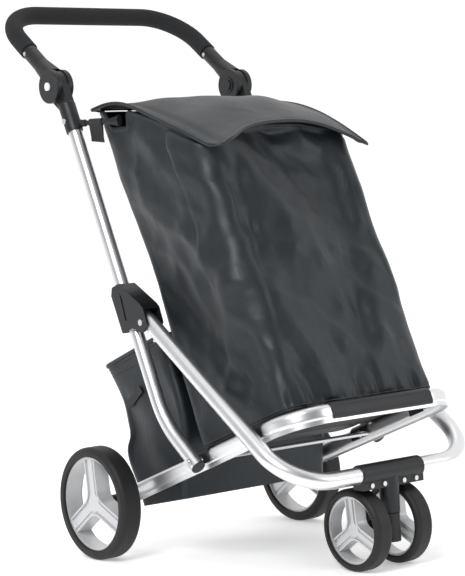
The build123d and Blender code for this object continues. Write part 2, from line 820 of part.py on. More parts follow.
# ---------------------------------------------------------------- bag, pocket and lid
bag_floor_plane = leg_plane.offset(leg_height / 2 + sheet_thickness + 0.4)
with BuildPart() as bag:
    with BuildSketch(across_upright(0, -330)):
        with Locations((0, (bag_rear_out + bag_front_out) / 2)):
            RectangleRounded(bag_width, bag_front_out - bag_rear_out, bag_corner_radius)
    extrude(amount=800)
    split(bisect_by=bag_floor_plane, keep=Keep.TOP)
    split(bisect_by=Plane.XY.offset(bag_rear_rim_height), keep=Keep.BOTTOM)
    offset(amount=-cloth_thickness, openings=bag.faces().sort_by(Axis.Z)[-1])
    # only the rear panel rises above the rim, to carry the lid
    with BuildSketch(side_plane(-bag_width)):
        with BuildLine():
            Polyline(
                on_upright(300, bag_rear_out + cloth_thickness),
                (on_upright(300, bag_rear_out + cloth_thickness)[0], bag_rim_height),
                (-400, bag_rim_height),
                (-400, 900),
                (rear_axle_y + 20, 900),
                close=True,
            )
        make_face()
    extrude(amount=2 * bag_width, mode=Mode.SUBTRACT)
finish(bag, "bag")

# rear pocket: hangs behind the bag with its mouth open at the top
rear_wall_out = bag_rear_out - 0.5
pocket_rear = (
    (rear_axle_y + 64, 332),
    (rear_axle_y + 34, 295),
    (rear_axle_y + 15, 267),
    (rear_axle_y + 7, 240),
    (rear_axle_y + 4, 212),
    (rear_axle_y + 15, 188),
    (rear_axle_y + 8, 150),
    (rear_axle_y - 26, 83),
)
with BuildPart() as rear_pocket:
    with BuildSketch(side_plane(-pocket_width / 2)):
        with BuildLine():
            Spline(*pocket_rear[:-1])
            Polyline(
                pocket_rear[-2],
                pocket_rear[-1],
                (rear_axle_y - 160, 108),
                (rear_axle_y - 164, 165),
                on_upright(-172, rear_wall_out),
                on_upright(6, rear_wall_out),
                pocket_rear[0],
            )
        make_face()
    extrude(amount=pocket_width)
    mouth = rear_pocket.faces().sort_by(Axis.Z)[-1]
    offset(amount=-cloth_thickness, openings=mouth)
finish(rear_pocket, "rear_pocket")

# lid: one curved sheet hinged at the top of the bag's rear panel
lid_line = (
    (rear_axle_y + 40, 795),
    (rear_axle_y - 50, 808),
    (rear_axle_y - 200, 791),
    (rear_axle_y - 310, 735),
)
with BuildPart() as lid:
    with BuildSketch(side_plane(-lid_width / 2)):
        with BuildLine():
            top = Spline(*lid_line)
            Line(top @ 1, (lid_line[-1][0], lid_line[-1][1] - lid_thickness))
            under = Spline(*[(y, z - lid_thickness) for y, z in reversed(lid_line)])
            Line(under @ 1, top @ 0)
        make_face()
    extrude(amount=lid_width)
finish(lid, "lid")
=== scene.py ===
import math

import bmesh
import bpy
import numpy as np
from mathutils import Matrix


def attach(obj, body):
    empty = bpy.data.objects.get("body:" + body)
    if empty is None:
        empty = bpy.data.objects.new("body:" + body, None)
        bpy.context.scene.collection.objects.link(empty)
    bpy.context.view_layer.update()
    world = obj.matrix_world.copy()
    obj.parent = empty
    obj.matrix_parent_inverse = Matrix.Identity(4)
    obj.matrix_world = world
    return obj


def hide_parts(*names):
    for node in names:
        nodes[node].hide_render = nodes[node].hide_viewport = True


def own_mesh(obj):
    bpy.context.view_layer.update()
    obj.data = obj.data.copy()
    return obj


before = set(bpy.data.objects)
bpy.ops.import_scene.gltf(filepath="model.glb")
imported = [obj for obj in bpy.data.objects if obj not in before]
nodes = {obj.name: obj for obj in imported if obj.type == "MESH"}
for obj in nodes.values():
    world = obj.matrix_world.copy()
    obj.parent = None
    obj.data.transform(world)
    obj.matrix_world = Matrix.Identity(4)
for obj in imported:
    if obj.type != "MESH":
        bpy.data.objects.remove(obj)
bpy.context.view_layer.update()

# ---------------------------------------------------------------- camera, floor and light
# The view is from the user's right, low down and level with the bag's middle, through a long lens.
aim = math.radians(39.04)
dip = math.radians(2.71)
lean = math.radians(-3.2)
eye = (-2.1889, -2.6987, 0.6287)
forward = np.array([math.sin(aim) * math.cos(dip), math.cos(aim) * math.cos(dip), -math.sin(dip)])
across = np.array([math.cos(aim), -math.sin(aim), 0.0])
above = np.cross(across, forward)
camera_right = math.cos(lean) * across + math.sin(lean) * above
camera_up = -math.sin(lean) * across + math.cos(lean) * above
camera = bpy.data.objects.new("view", bpy.data.cameras.new("view"))
turn = np.eye(4)
turn[:3, 0], turn[:3, 1], turn[:3, 2] = camera_right, camera_up, -forward
turn[:3, 3] = eye
camera.matrix_world = Matrix(turn.tolist())
camera.data.lens = 121.23
camera.data.sensor_width = 36.0
bpy.context.scene.collection.objects.link(camera)
bpy.context.scene.camera = camera


def node_material(name, colour, roughness, metallic=0.0):
    """A new shader with one surface node, its colour, roughness and metal share set on its sockets."""
    material = bpy.data.materials.new(name)
    material.use_nodes = True
    surface = material.node_tree.nodes["Principled BSDF"]
    surface.inputs["Base Color"].default_value = (*colour, 1.0)
    surface.inputs["Roughness"].default_value = roughness
    surface.inputs["Metallic"].default_value = metallic
    return material, surface


def add_node(material, kind, **settings):
    """Adds a node and sets its properties, or its sockets where the setting names one."""
    node = material.node_tree.nodes.new(kind)
    for key, value in settings.items():
        if key in node.inputs:
            node.inputs[key].default_value = value
        else:
            setattr(node, key, value)
    return node


def new_piece(name, points, faces, material, smooth=True, uv=None):
    """A mesh object from an array of points and a list of faces, lying where its points say."""
    mesh = bpy.data.meshes.new(name)
    mesh.from_pydata(np.asarray(points, float).reshape(-1, 3).tolist(), [], faces)
    if uv is not None:
        layer = mesh.uv_layers.new(name="cloth")
        loops = np.empty(len(mesh.loops), np.int32)
        mesh.loops.foreach_get("vertex_index", loops)
        layer.data.foreach_set("uv", np.asarray(uv, np.float32).reshape(-1, 2)[loops].ravel())
    mesh.polygons.foreach_set("use_smooth", [smooth] * len(mesh.polygons))
    mesh.materials.append(material)
    mesh.update()
    piece = bpy.data.objects.new(name, mesh)
    bpy.context.scene.collection.objects.link(piece)
    return piece


def grid_faces(rows, columns, close_columns=False, close_rows=False):
    """Four-sided faces over a grid of rows by columns, wrapping round where it closes."""
    row = np.arange(rows if close_rows else rows - 1)
    column = np.arange(columns if close_columns else columns - 1)
    r, c = np.meshgrid(row, column, indexing="ij")
    r2, c2 = (r + 1) % rows, (c + 1) % columns
    corners = np.stack([r * columns + c, r * columns + c2, r2 * columns + c2, r2 * columns + c], axis=-1)
    return corners.reshape(-1, 4).tolist()


floor_material, surface = node_material("pale_floor", (0.97, 0.97, 0.97), 0.7)
surface.inputs["Emission Color"].default_value = (1.0, 1.0, 1.0, 1.0)
surface.inputs["Emission Strength"].default_value = 0.35
reach = 150.0
floor_points = [(-reach, -reach, 0.0), (reach, -reach, 0.0), (reach, reach, 0.0), (-reach, reach, 0.0)]
floor = new_piece("floor", floor_points, [(0, 1, 2, 3)], floor_material)

world = bpy.data.worlds.new("studio")
world.use_nodes = True
world.node_tree.nodes["Background"].inputs["Color"].default_value = (1.0, 1.0, 1.0, 1.0)
bpy.context.scene.world = world
# the studio is bright overhead and behind the cart, and dimmer on the near side
sky = world.node_tree.nodes.new("ShaderNodeTexCoord")
toward = world.node_tree.nodes.new("ShaderNodeVectorMath")
toward.operation = "DOT_PRODUCT"
toward.inputs[1].default_value = (0.6, 0.73, 0.3)
level = world.node_tree.nodes.new("ShaderNodeMapRange")
level.inputs["From Min"].default_value = -0.55
level.inputs["From Max"].default_value = 0.45
level.inputs["To Min"].default_value = 0.2
level.inputs["To Max"].default_value = 1.04
world.node_tree.links.new(sky.outputs["Generated"], toward.inputs[0])
world.node_tree.links.new(toward.outputs["Value"], level.inputs["Value"])
world.node_tree.links.new(level.outputs["Result"], world.node_tree.nodes["Background"].inputs["Strength"])
bpy.context.scene.view_settings.view_transform = "Standard"


def soft_light(name, place, target, size, power):
    """A square softbox at a place, facing a target."""
    lamp = bpy.data.lights.new(name, "AREA")
    lamp.size, lamp.energy = size, power
    holder = bpy.data.objects.new(name, lamp)
    line = np.array(target, float) - np.array(place, float)
    line /= np.linalg.norm(line)
    side = np.cross(line, (0, 0, 1.0))
    side /= np.linalg.norm(side)
    matrix = np.eye(4)
    matrix[:3, 0], matrix[:3, 1], matrix[:3, 2] = side, np.cross(side, line), -line
    matrix[:3, 3] = place
    holder.matrix_world = Matrix(matrix.tolist())
    bpy.context.scene.collection.objects.link(holder)


soft_light("key", (-2.6, -1.6, 2.6), (0, -0.1, 0.5), 1.2, 85)
soft_light("fill", (1.8, -3.0, 1.6), (0, -0.1, 0.4), 1.2, 18)
soft_light("top", (0.2, 0.6, 3.0), (0, 0, 0.5), 1.6, 5)

# ---------------------------------------------------------------- aluminium tubes
# Uprights, base frame, brace and handle tube are drawn aluminium, satin anodised.
# Very fine marks run along them and the finish varies a little from place to place.


def uneven_finish(material, surface, low, high, **noise):
    """Roughness drifts between two values with a noise over the piece. Returns the coordinates' node."""
    place = add_node(material, "ShaderNodeTexCoord")
    cloud = add_node(material, "ShaderNodeTexNoise", **noise)
    spread = add_node(material, "ShaderNodeMapRange")
    spread.inputs["To Min"].default_value = low
    spread.inputs["To Max"].default_value = high
    wire = material.node_tree.links.new
    wire(place.outputs["Object"], cloud.inputs["Vector"])
    wire(cloud.outputs["Fac"], spread.inputs["Value"])
    wire(spread.outputs["Result"], surface.inputs["Roughness"])
    return place


def relief(material, surface, lift, strength, distance):
    """Raises and lowers the surface's shading by a socket that gives a height."""
    bump = add_node(material, "ShaderNodeBump", Strength=strength, Distance=distance)
    material.node_tree.links.new(lift, bump.inputs["Height"])
    material.node_tree.links.new(bump.outputs["Normal"], surface.inputs["Normal"])


aluminium, surface = node_material("satin_aluminium", (0.78, 0.785, 0.8), 0.34, 1.0)
place = uneven_finish(aluminium, surface, 0.27, 0.42, Scale=14.0, Detail=3.0)
grain = add_node(aluminium, "ShaderNodeTexNoise", Scale=900.0, Detail=2.0)
aluminium.node_tree.links.new(place.outputs["Object"], grain.inputs["Vector"])
relief(aluminium, surface, grain.outputs["Fac"], 0.04, 0.0003)


def refinish(names, material):
    """Puts a material on CAD nodes."""
    for name in names:
        nodes[name].data.materials.clear()
        nodes[name].data.materials.append(material)


refinish(["upright_left", "upright_right", "base_frame", "brace", "handle_tube", "axle_tube"], aluminium)

# ---------------------------------------------------------------- steel fasteners
# Screws, bolts, rivets, axles, the cross rod and the lock pins are zinc-plated steel, turned and satin.
steel, surface = node_material("zinc_steel", (0.62, 0.63, 0.65), 0.3, 1.0)
uneven_finish(steel, surface, 0.2, 0.45, Scale=500.0, Detail=3.0)
steel_nodes = ["pivot_bolts", "brace_rivets", "bracket_screws", "clamp_screws", "arm_screws"]
steel_nodes += ["rear_axle", "front_axle", "cross_rod", "lock_pin_left", "lock_pin_right"]
refinish(steel_nodes, steel)
white_cap, _ = node_material("white_cap", (0.72, 0.72, 0.71), 0.3)
refinish(["handle_pins"], white_cap)

# ---------------------------------------------------------------- moulded black plastic
# Brackets, handle arms, caster, saddles and caps are moulded nylon with a fine spark-eroded grain.
# The knuckles are the same plastic from a polished mould.


def moulded(name, colour, rough_low, rough_high, grain_depth):
    """Black plastic: roughness drifts between two values and a fine grain lifts the surface."""
    material, surface = node_material(name, colour, rough_low)
    surface.inputs["Specular IOR Level"].default_value = 0.38
    place = uneven_finish(material, surface, rough_low, rough_high, Scale=35.0, Detail=4.0)
    grain = add_node(material, "ShaderNodeTexNoise", Scale=1400.0, Detail=2.0)
    material.node_tree.links.new(place.outputs["Object"], grain.inputs["Vector"])
    relief(material, surface, grain.outputs["Fac"], grain_depth, 0.0004)
    return material


grained_black = moulded("grained_black", (0.010, 0.011, 0.0125), 0.36, 0.5, 0.25)
polished_black = moulded("polished_black", (0.008, 0.009, 0.011), 0.14, 0.24, 0.05)
refinish(["knuckle_left", "knuckle_right"], polished_black)
grained = ["handle_arm_left", "handle_arm_right", "handle_bracket_left", "handle_bracket_right"]
grained += ["handle_button_left", "handle_button_right", "hanger_peg_left", "hanger_peg_right"]
grained += ["upright_plug_left", "upright_plug_right", "saddle_left", "saddle_right"]
grained += ["brace_rest_left", "brace_rest_right", "caster_swivel", "axle_spacers"]
grained += ["caster_clamp_front", "caster_clamp_rear", "bar_sleeve"]
refinish(grained, grained_black)

# ---------------------------------------------------------------- foam grip
# A sleeve of closed-cell foam round the whole upper U of the handle: matte, with fine open pores.
foam, surface = node_material("closed_cell_foam", (0.014, 0.015, 0.017), 0.85)
surface.inputs["Specular IOR Level"].default_value = 0.3
place = add_node(foam, "ShaderNodeTexCoord")
pores = add_node(foam, "ShaderNodeTexVoronoi", Scale=900.0)
cloud = add_node(foam, "ShaderNodeTexNoise", Scale=60.0, Detail=4.0)
lift = add_node(foam, "ShaderNodeMath", operation="ADD")
wire = foam.node_tree.links.new
wire(place.outputs["Object"], pores.inputs["Vector"])
wire(place.outputs["Object"], cloud.inputs["Vector"])
wire(pores.outputs["Distance"], lift.inputs[0])
wire(cloud.outputs["Fac"], lift.inputs[1])
relief(foam, surface, lift.outputs["Value"], 0.5, 0.0006)
refinish(["foam_grip"], foam)

# ---------------------------------------------------------------- platform sheet
# A thin black board that lies on the base frame's legs and carries the bag's floor.
board = moulded("fibre_board", (0.014, 0.015, 0.016), 0.5, 0.65, 0.4)
refinish(["platform_sheet"], board)

# ---------------------------------------------------------------- tyres and rims
# Grey-black solid rubber tyres with a smooth tread, on silver moulded rims with three broad arms.
rubber, surface = node_material("tyre_rubber", (0.013, 0.0132, 0.014), 0.55)
surface.inputs["Specular IOR Level"].default_value = 0.32
uneven_finish(rubber, surface, 0.42, 0.68, Scale=30.0, Detail=5.0)
refinish(["rear_tyre_left", "rear_tyre_right", "front_tyre_left", "front_tyre_right"], rubber)
silver, _ = node_material("silver_plastic", (0.58, 0.585, 0.6), 0.36, 0.35)
refinish(["rear_rim_left", "rear_rim_right", "front_rim_left", "front_rim_right"], silver)

# ---------------------------------------------------------------- bag
# A tall sack of black coated nylon, square in plan with soft corners. It hangs from the hanger pegs,
# its floor stands on the board, and the slack cloth falls in long folds to gathers above the hem.
cloth, surface = node_material("coated_nylon", (0.0075, 0.0095, 0.0115), 0.42)
surface.inputs["Specular Tint"].default_value = (0.86, 0.94, 1.0, 1.0)
surface.inputs["Sheen Weight"].default_value = 0.035
surface.inputs["Sheen Roughness"].default_value = 0.4
strands = add_node(cloth, "ShaderNodeUVMap", uv_map="cloth")
warp = add_node(cloth, "ShaderNodeTexWave", Scale=520.0, wave_type="BANDS", bands_direction="X")
weft = add_node(cloth, "ShaderNodeTexWave", Scale=520.0, wave_type="BANDS", bands_direction="Y")
crease = add_node(cloth, "ShaderNodeTexNoise", Scale=26.0, Detail=3.0, Distortion=0.6)
weave = add_node(cloth, "ShaderNodeMath", operation="MULTIPLY")
fine = add_node(cloth, "ShaderNodeBump", Strength=0.12, Distance=0.0003)
soft = add_node(cloth, "ShaderNodeBump", Strength=0.35, Distance=0.004)
place = uneven_finish(cloth, surface, 0.36, 0.56, Scale=9.0, Detail=5.0, Roughness=0.55)
wire = cloth.node_tree.links.new
wire(strands.outputs["UV"], warp.inputs["Vector"])
wire(strands.outputs["UV"], weft.inputs["Vector"])
wire(place.outputs["Object"], crease.inputs["Vector"])
wire(warp.outputs["Fac"], weave.inputs[0])
wire(weft.outputs["Fac"], weave.inputs[1])
wire(weave.outputs["Value"], fine.inputs["Height"])
wire(crease.outputs["Fac"], soft.inputs["Height"])
wire(fine.outputs["Normal"], soft.inputs["Normal"])
wire(soft.outputs["Normal"], surface.inputs["Normal"])

# the uprights lean back by slope, the board's plane tilts by leg_slope, and the mark is a point on the
# uprights' line beside the knuckles
slope = math.radians(23.0)
leg_slope = math.radians(19.5)
mark_y, mark_z = 0.013, 0.403
mark_above_axle, mark_before_axle = 0.303, 0.104


def beside_upright(x, out, along):
    """Points in metres: x across, out in front of the uprights' line, along up it from the knuckle's mark."""
    y = mark_y + along * math.sin(slope) - out * math.cos(slope)
    z = mark_z + along * math.cos(slope) + out * math.sin(slope)
    return np.stack(np.broadcast_arrays(x, y, z), axis=-1)


def along_at_height(z, out):
    """How far up the uprights' line a height is, at a distance out."""
    return (z - mark_z - out * math.sin(slope)) / math.cos(slope)


def along_at_board(out, lift):
    """How far up the uprights' line the board's plane is, raised by lift, at a distance out."""
    up = math.sin(leg_slope) * math.sin(slope) + math.cos(leg_slope) * math.cos(slope)
    start = math.cos(leg_slope) * (mark_above_axle + out * math.sin(slope))
    start -= math.sin(leg_slope) * (mark_before_axle + out * math.cos(slope))
    return (lift - start) / up


def rounded_square(turns, half_x, low, high, corner):
    """Points round a rounded rectangle from one run of its outline: straight sides and quarter circles,
    by length, starting at the middle of the rear side and going to -x first."""
    width, depth = 2 * half_x, high - low
    arc = corner * math.pi / 2
    pieces = [half_x - corner, arc, depth - 2 * corner, arc, width - 2 * corner, arc,
              depth - 2 * corner, arc, half_x - corner]
    total = sum(pieces)
    s = (np.asarray(turns) % 1.0) * total
    x, o = np.zeros_like(s), np.zeros_like(s)
    start = 0.0
    lines = {0: ((0, low), (-1, 0)), 2: ((-half_x, low + corner), (0, 1)),
             4: ((-half_x + corner, high), (1, 0)), 6: ((half_x, high - corner), (0, -1)),
             8: ((half_x - corner, low), (-1, 0))}
    arcs = {1: ((-half_x + corner, low + corner), -90), 3: ((-half_x + corner, high - corner), 180),
            5: ((half_x - corner, high - corner), 90), 7: ((half_x - corner, low + corner), 0)}
    for i, length in enumerate(pieces):
        inside = (s >= start) & (s <= start + length)
        d = s[inside] - start
        if i in lines:
            (px, po), (dx, do) = lines[i]
            x[inside], o[inside] = px + dx * d, po + do * d
        else:
            (cx, co), angle = arcs[i]
            t = math.radians(angle) - d / corner
            x[inside], o[inside] = cx + corner * np.cos(t), co + corner * np.sin(t)
        start += length
    return x, o, s


bag_turns, bag_rows = 250, 160
bag_half_width, bag_corner = 0.167, 0.024
bag_rear, bag_front = 0.018, 0.268
floor_middle, floor_lift = 0.143, 0.0185
corner_height, mouth_crown = 0.722, 0.029
cloth_thickness = 0.0016
turns = np.arange(bag_turns) / bag_turns
rise = np.linspace(0.0, 1.0, bag_rows)
ring_x, ring_out, ring_length = rounded_square(turns, bag_half_width, bag_rear, bag_front, bag_corner)
ring_share, rise_share = np.meshgrid(turns, rise)
wall_x = np.tile(ring_x, (bag_rows, 1))
wall_out = np.tile(ring_out, (bag_rows, 1))
step_x = np.roll(ring_x, -1) - np.roll(ring_x, 1)
step_o = np.roll(ring_out, -1) - np.roll(ring_out, 1)
size = np.hypot(step_x, step_o)
normal_x, normal_o = -step_o / size, step_x / size
low_along = along_at_board(wall_out, floor_lift)

# the mouth's edge is high behind the pegs and falls toward the front corners
rim_out = (0.0, 0.043, 0.052, 0.094, 0.106, 0.2, bag_front)
rim_height = (0.7885, 0.7885, 0.757, 0.757, 0.786, 0.755, corner_height)
side_rim = np.interp(wall_out, rim_out, rim_height)
front_rim = corner_height + mouth_crown * (1 - (np.abs(wall_x) / bag_half_width) ** 2.5)
rim = np.where(wall_out > 0.26, np.maximum(side_rim, front_rim), side_rim)
high_along = along_at_height(rim, wall_out)
along = low_along + (high_along - low_along) * rise_share
above_floor = along - low_along


def fold(p, q, start, end, width, height, bow=0.0):
    """A soft ridge from start to end: a bell curve across the line, faded at both ends, bowed sideways."""
    start, end = np.array(start, float), np.array(end, float)
    run = end - start
    length = np.hypot(*run)
    run /= length
    t = ((p - start[0]) * run[0] + (q - start[1]) * run[1]) / length
    side = (p - start[0]) * -run[1] + (q - start[1]) * run[0] - bow * 4 * t * (1 - t)
    fade = np.clip(np.minimum(t, 1 - t) * 4 + 0.3, 0, 1)
    fade = fade * fade * (3 - 2 * fade)
    return height * fade * np.exp(-((side / width) ** 2))


front_wall = wall_out > 0.2
# the seams at the front corners keep the cloth nearly straight there
seam_x, seam_out, seam_reach = 0.163, 0.264, 0.035
from_seam = ((np.abs(wall_x) - seam_x) / seam_reach) ** 2 + ((wall_out - seam_out) / seam_reach) ** 2
calm = 1 - np.where(wall_x > 0, 0.8, 0.25) * np.exp(-from_seam)
calm *= 1 - 0.85 * np.exp(-((wall_out - 0.018) / 0.04) ** 2) * (np.abs(wall_x) > 0.13)
swell = np.zeros_like(wall_x)
front_folds = [
    ((-0.20, 0.55), (-0.02, 0.18), 0.046, 0.017, 0.04),
    ((-0.20, 0.36), (0.04, 0.06), 0.036, 0.012, -0.03),
    ((-0.04, 0.54), (0.14, 0.24), 0.050, -0.018, 0.02),
    ((-0.16, 0.20), (-0.05, 0.00), 0.026, 0.011, 0.01),
    ((0.12, 0.52), (0.00, 0.02), 0.030, -0.012, 0.03),
    ((0.19, 0.56), (0.07, 0.02), 0.040, 0.017, -0.02),
    ((-0.02, 0.36), (0.03, 0.00), 0.024, 0.009, 0.015),
    ((0.15, 0.28), (0.13, 0.00), 0.018, 0.009, 0.0),
    ((-0.12, 0.46), (-0.13, 0.22), 0.016, -0.008, 0.01),
]
for start, end, width, height, bow in front_folds:
    swell += fold(wall_x, above_floor, start, end, width, height, bow) * front_wall * calm
side_folds = [
    ((0.00, 0.56), (0.26, 0.16), 0.044, 0.014, 0.03),
    ((0.02, 0.38), (0.24, 0.02), 0.034, -0.012, -0.02),
    ((0.10, 0.58), (0.27, 0.34), 0.030, 0.013, 0.01),
    ((0.25, 0.26), (0.08, 0.00), 0.022, 0.010, 0.01),
    ((0.16, 0.16), (0.24, 0.00), 0.014, 0.006, 0.0),
]
for start, end, width, height, bow in side_folds:
    swell += fold(wall_out, above_floor, start, end, width, height, bow) * (np.abs(wall_x) > 0.14) * calm
# gathers above the hem: broad ones, and finer ones nearer to it
broad = np.sin(ring_length * 2 * np.pi / 0.047 + 1.5 * np.sin(ring_length * 21))
narrow = np.sin(ring_length * 2 * np.pi / 0.021 + 2.0 * np.sin(ring_length * 13))
swell += 0.0028 * broad * np.exp(-((above_floor - 0.01) / 0.045) ** 2)
swell += 0.0016 * narrow * np.exp(-((above_floor - 0.008) / 0.022) ** 2)
swell += 0.004 * np.sin(ring_share * 2 * np.pi * 3 + 4 * rise_share) * np.sin(np.pi * rise_share) ** 1.5
# small sharp creases: sums of waves that run in scattered directions, folded back at their middle
random = np.random.default_rng(11)
crumple = np.zeros_like(swell)
for _ in range(9):
    direction = random.uniform(-0.9, 0.9)
    across_wave = ring_length * math.cos(direction) + above_floor * math.sin(direction)
    along_wave = above_floor * math.cos(direction) - ring_length * math.sin(direction)
    pitch = random.uniform(0.09, 0.22)
    wander = 1.6 * np.sin(2 * np.pi * along_wave / 0.31 + random.uniform(0, 6))
    wave = np.sin(2 * np.pi * across_wave / pitch + wander)
    crumple += (1 - np.sqrt(wave**2 + 0.02)) * random.uniform(0.5, 1.0)
swell += 0.0026 * (crumple - crumple.mean()) * calm
swell -= 0.006 * np.exp(-((rise_share - 0.55) / 0.35) ** 2) * (np.abs(np.sin(2 * np.pi * ring_share)) ** 3)
fade = np.clip(above_floor / 0.012, 0, 1) * np.clip((1 - rise_share) / 0.02, 0.25, 1)
# beside the saddles the side walls lie flat
fade *= np.where(np.abs(wall_x) > 0.16, np.clip((above_floor - 0.03) / 0.05, 0, 1), 1)
swell *= fade
wall_x = wall_x + normal_x * swell
wall_out = wall_out + normal_o * swell
bag_points = beside_upright(wall_x, wall_out, along)
bag_uv = np.stack([np.tile(ring_length, (bag_rows, 1)), above_floor], axis=-1)
shrink = np.linspace(1.0, 0.0, 14)[1:]
floor_x = ring_x[None] * shrink[:, None]
floor_o = floor_middle + (ring_out[None] - floor_middle) * shrink[:, None]
floor_points = beside_upright(floor_x, floor_o, along_at_board(floor_o, floor_lift))
all_points = np.concatenate([floor_points[::-1].reshape(-1, 3), bag_points.reshape(-1, 3)])
floor_uv = np.stack([floor_x, floor_o], axis=-1)[::-1].reshape(-1, 2)
all_uv = np.concatenate([floor_uv, bag_uv.reshape(-1, 2)])
rings = len(shrink) + bag_rows
bag = new_piece("bag_cloth", all_points, grid_faces(rings, bag_turns, close_columns=True), cloth, uv=all_uv)


def tidy_mesh(piece, distance=1e-6):
    """Merges points that lie together, so seams and poles close, and turns every face outwards."""
    work = bmesh.new()
    work.from_mesh(piece.data)
    bmesh.ops.remove_doubles(work, verts=work.verts, dist=distance)
    bmesh.ops.recalc_face_normals(work, faces=work.faces)
    work.to_mesh(piece.data)
    work.free()


def thicken(piece, thickness, offset=-1.0):
    """Gives a sheet its thickness, as a finished mesh."""
    wall = piece.modifiers.new("thickness", "SOLIDIFY")
    wall.thickness, wall.offset = thickness, offset
    graph = bpy.context.evaluated_depsgraph_get()
    mesh = bpy.data.meshes.new_from_object(piece.evaluated_get(graph))
    piece.modifiers.clear()
    piece.data = mesh


tidy_mesh(bag)
thicken(bag, cloth_thickness)
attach(bag, "uprights")
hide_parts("bag")


def settle(piece):
    """Gives a bag piece its own copy of its mesh."""
    tuple(beside_upright(0.0, 0.018, 0.1).tolist())
    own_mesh(piece)


settle(bag)


def cord(name, path, radius, material, sides=8, closed=False, squeeze=1.0):
    """A round cord carried along a path: a ring of points square to the path's direction at each point."""
    path = np.asarray(path, float)
    if closed:
        step = np.roll(path, -1, 0) - np.roll(path, 1, 0)
    else:
        step = np.gradient(path, axis=0)
    step /= np.linalg.norm(step, axis=1)[:, None]
    side = np.cross(step, (0.0, 0.3, 1.0))
    side /= np.linalg.norm(side, axis=1)[:, None]
    lift = np.cross(side, step)
    angle = np.linspace(0, 2 * np.pi, sides, endpoint=False)
    beside = np.cos(angle)[None, :, None] * side[:, None]
    ring = beside + squeeze * np.sin(angle)[None, :, None] * lift[:, None]
    points = path[:, None] + radius * ring
    faces = grid_faces(len(path), sides, close_columns=True, close_rows=closed)
    if not closed:
        last = (len(path) - 1) * sides
        faces += [tuple(range(sides))[::-1], tuple(range(last, last + sides))]
    piece = new_piece(name, points.reshape(-1, 3), faces, material)
    tidy_mesh(piece)
    return piece


def stitches(name, path, gap, length, radius, material):
    """A row of thread stitches, each a small lens lying along the path, merged in one piece."""
    path = np.asarray(path, float)
    run = np.concatenate([[0], np.cumsum(np.linalg.norm(np.diff(path, axis=0), axis=1))])
    places = np.arange(gap / 2, run[-1], gap)
    at = np.stack([np.interp(places, run, path[:, k]) for k in range(3)], axis=-1)
    on = np.stack([np.interp(places + 0.0005, run, path[:, k]) for k in range(3)], axis=-1) - at
    on /= np.linalg.norm(on, axis=1)[:, None] + 1e-12
    side = np.cross(on, (0.31, 0.2, 0.93))
    side /= np.linalg.norm(side, axis=1)[:, None]
    lift = np.cross(side, on)
    u = np.linspace(-1, 1, 5)
    angle = np.linspace(0, 2 * np.pi, 6, endpoint=False)
    wide = np.sqrt(np.clip(1 - u**2, 0.02, 1))
    ring = np.cos(angle)[:, None, None] * side[None] + np.sin(angle)[:, None, None] * lift[None]
    ends = (u * length / 2)[None, :, None, None] * on[:, None, None]
    points = (at[:, None, None] + ends
              + radius * wide[None, :, None, None] * ring.transpose(1, 0, 2)[:, None])
    one = grid_faces(5, 6, close_columns=True) + [tuple(range(6))[::-1], tuple(range(24, 30))]
    faces = [tuple(k * 30 + v for v in face) for k in range(len(at)) for face in one]
    piece = new_piece(name, points.reshape(-1, 3), faces, material)
    tidy_mesh(piece)
    return piece


# ---------------------------------------------------------------- bag hem and loops
# A cord is sewn into the seam where the bag's walls meet its floor. A doubled hem closes the mouth,
# and a loop of webbing at each rear top corner hangs the bag on its peg.
thread, _ = node_material("thread", (0.04, 0.042, 0.046), 0.5)
stitch_gap, stitch_length, stitch_radius = 0.0042, 0.003, 0.0005
hem = cord("bag_piping", bag_points[2], 0.0028, cloth, closed=True)
mouth = cord("bag_mouth_hem", bag_points[-1], 0.0024, cloth, closed=True, squeeze=2.0)
# the whole row is moved by one small shift, square to the rear wall
rearward = np.array([normal_x[-7], -normal_o[-7] * math.cos(slope), normal_o[-7] * math.sin(slope)])
row_path = bag_points[-7] + 0.0007 * rearward
row_path = np.concatenate([row_path, row_path[:1]])
row = stitches("bag_mouth_stitches", row_path, stitch_gap, stitch_length, stitch_radius, thread)
for piece in (hem, mouth, row):
    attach(piece, "uprights")
    settle(piece)

webbing, surface = node_material("webbing", (0.012, 0.0125, 0.014), 0.6)
place = add_node(webbing, "ShaderNodeTexCoord")
rib = add_node(webbing, "ShaderNodeTexWave", Scale=160.0, wave_type="BANDS", bands_direction="Z")
webbing.node_tree.links.new(place.outputs["Object"], rib.inputs["Vector"])
relief(webbing, surface, rib.outputs["Fac"], 0.6, 0.0006)


def strap(name, path, width_direction, width, thickness, material, closed=False):
    """A flat strap carried along a path: a thin rectangle whose long side keeps one direction."""
    path = np.asarray(path, float)
    step = np.roll(path, -1, 0) - np.roll(path, 1, 0) if closed else np.gradient(path, axis=0)
    step /= np.linalg.norm(step, axis=1)[:, None]
    wide = np.array(width_direction, float)
    wide = wide[None] - (step @ wide)[:, None] * step
    wide /= np.linalg.norm(wide, axis=1)[:, None]
    thin = np.cross(step, wide)
    corners = [(-1, -1), (1, -1), (1, 1), (-1, 1)]
    points = np.stack([path + a * width / 2 * wide + b * thickness / 2 * thin for a, b in corners], axis=1)
    faces = grid_faces(len(path), 4, close_columns=True, close_rows=closed)
    if not closed:
        last = (len(path) - 1) * 4
        faces += [(3, 2, 1, 0), (last, last + 1, last + 2, last + 3)]
    piece = new_piece(name, points.reshape(-1, 3), faces, material, smooth=False)
    tidy_mesh(piece)
    return piece


